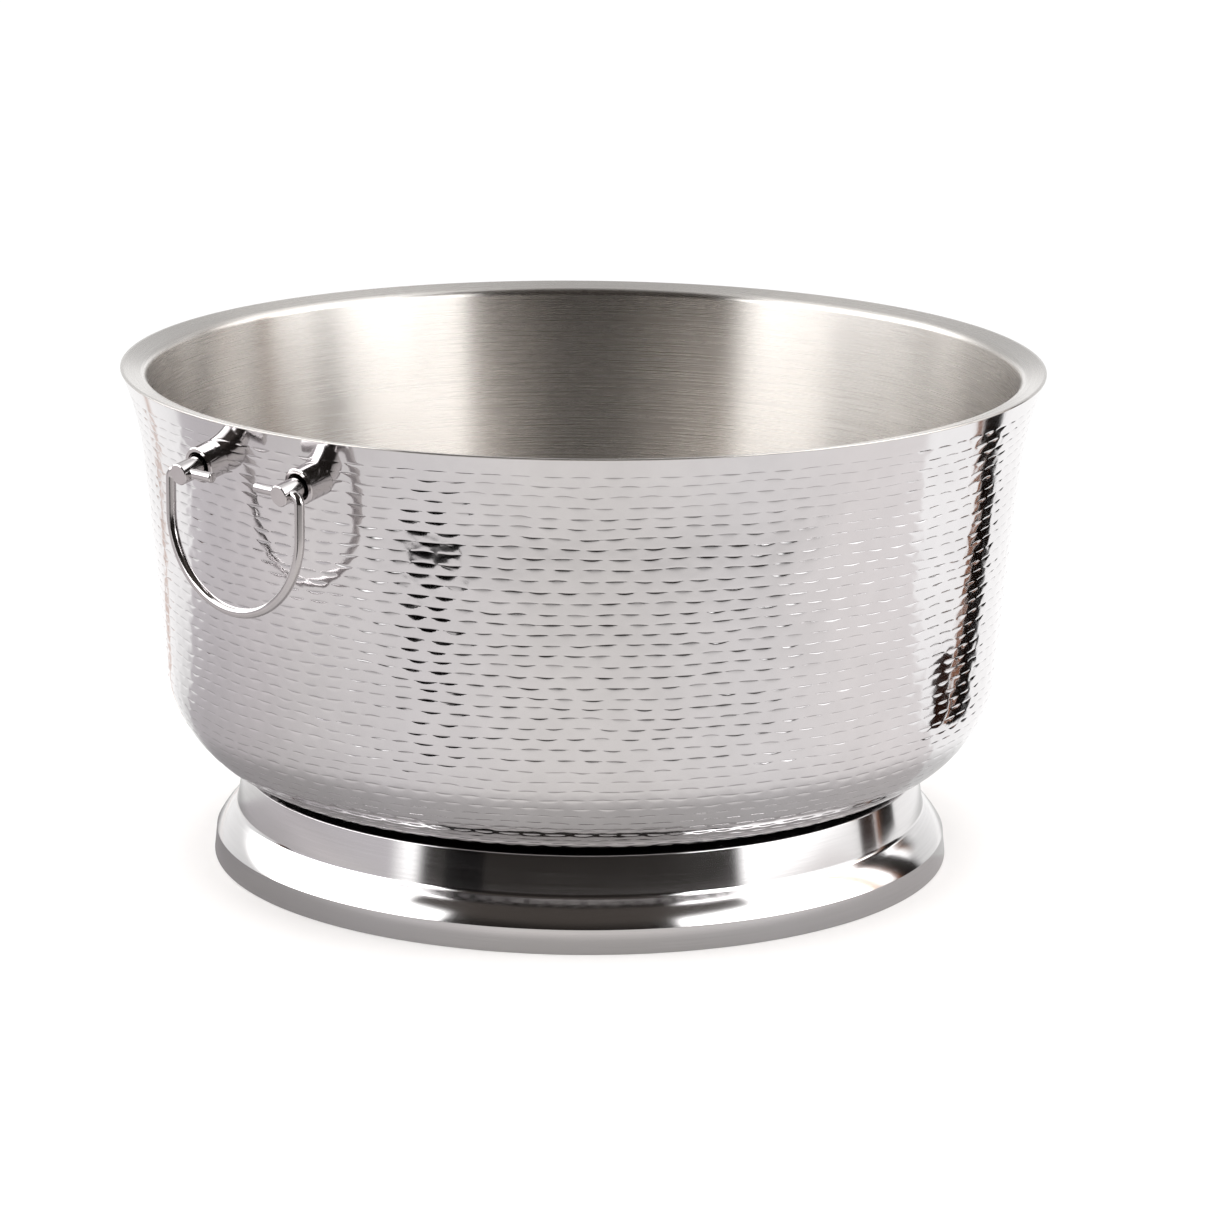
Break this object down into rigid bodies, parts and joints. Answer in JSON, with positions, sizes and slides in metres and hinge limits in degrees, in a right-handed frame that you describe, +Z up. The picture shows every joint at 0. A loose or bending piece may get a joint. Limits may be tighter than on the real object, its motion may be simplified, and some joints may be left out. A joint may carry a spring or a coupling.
{
  "type": "champagne bucket",
  "caption": "Wide double-walled champagne bucket in hammered silver metal, with a brushed inner bowl, a spun ring foot and swinging bail handles on round posts.",
  "frame": {"origin": "centre of the ring that the foot stands on", "axes": "+Z up; the bails hang at -X and +X and swing about axes along Y"},
  "size_m": [0.5042, 0.4698, 0.2552],
  "materials": {
    "hammered_shell": "hand hammered and polished",
    "brushed_bowl": "brushed round the bowl",
    "spun_foot": "spun and softly polished",
    "polished_rod": "polished",
    "polished_post": "polished",
    "fasteners": "plain stainless"
  },
  "bodies": {
    "bucket": {"outer_shell": "hammered_shell", "inner_bowl": "brushed_bowl", "foot": "spun_foot", "foot_studs": "fasteners", "foot_washers": "fasteners", "foot_nuts": "fasteners", "left_front_stud": "polished_post", "left_front_collar": "polished_post", "left_front_saddle": "fasteners", "left_front_nut": "fasteners", "left_rear_stud": "polished_post", "left_rear_collar": "polished_post", "left_rear_saddle": "fasteners", "left_rear_nut": "fasteners", "right_front_stud": "polished_post", "right_front_collar": "polished_post", "right_front_saddle": "fasteners", "right_front_nut": "fasteners", "right_rear_stud": "polished_post", "right_rear_collar": "polished_post", "right_rear_saddle": "fasteners", "right_rear_nut": "fasteners"},
    "left_bail": {"left_bail": "polished_rod"},
    "right_bail": {"right_bail": "polished_rod"}
  },
  "joints": [
    {"name": "left_bail_swing", "type": "hinge", "parent": "bucket", "child": "left_bail", "pos_m": [-0.24676, 0, 0.2314], "axis": [0, 1, 0], "range_deg": [-21, 205]},
    {"name": "right_bail_swing", "type": "hinge", "parent": "bucket", "child": "right_bail", "pos_m": [0.24676, 0, 0.2314], "axis": [0, -1, 0], "range_deg": [-21, 205]}
  ]
}
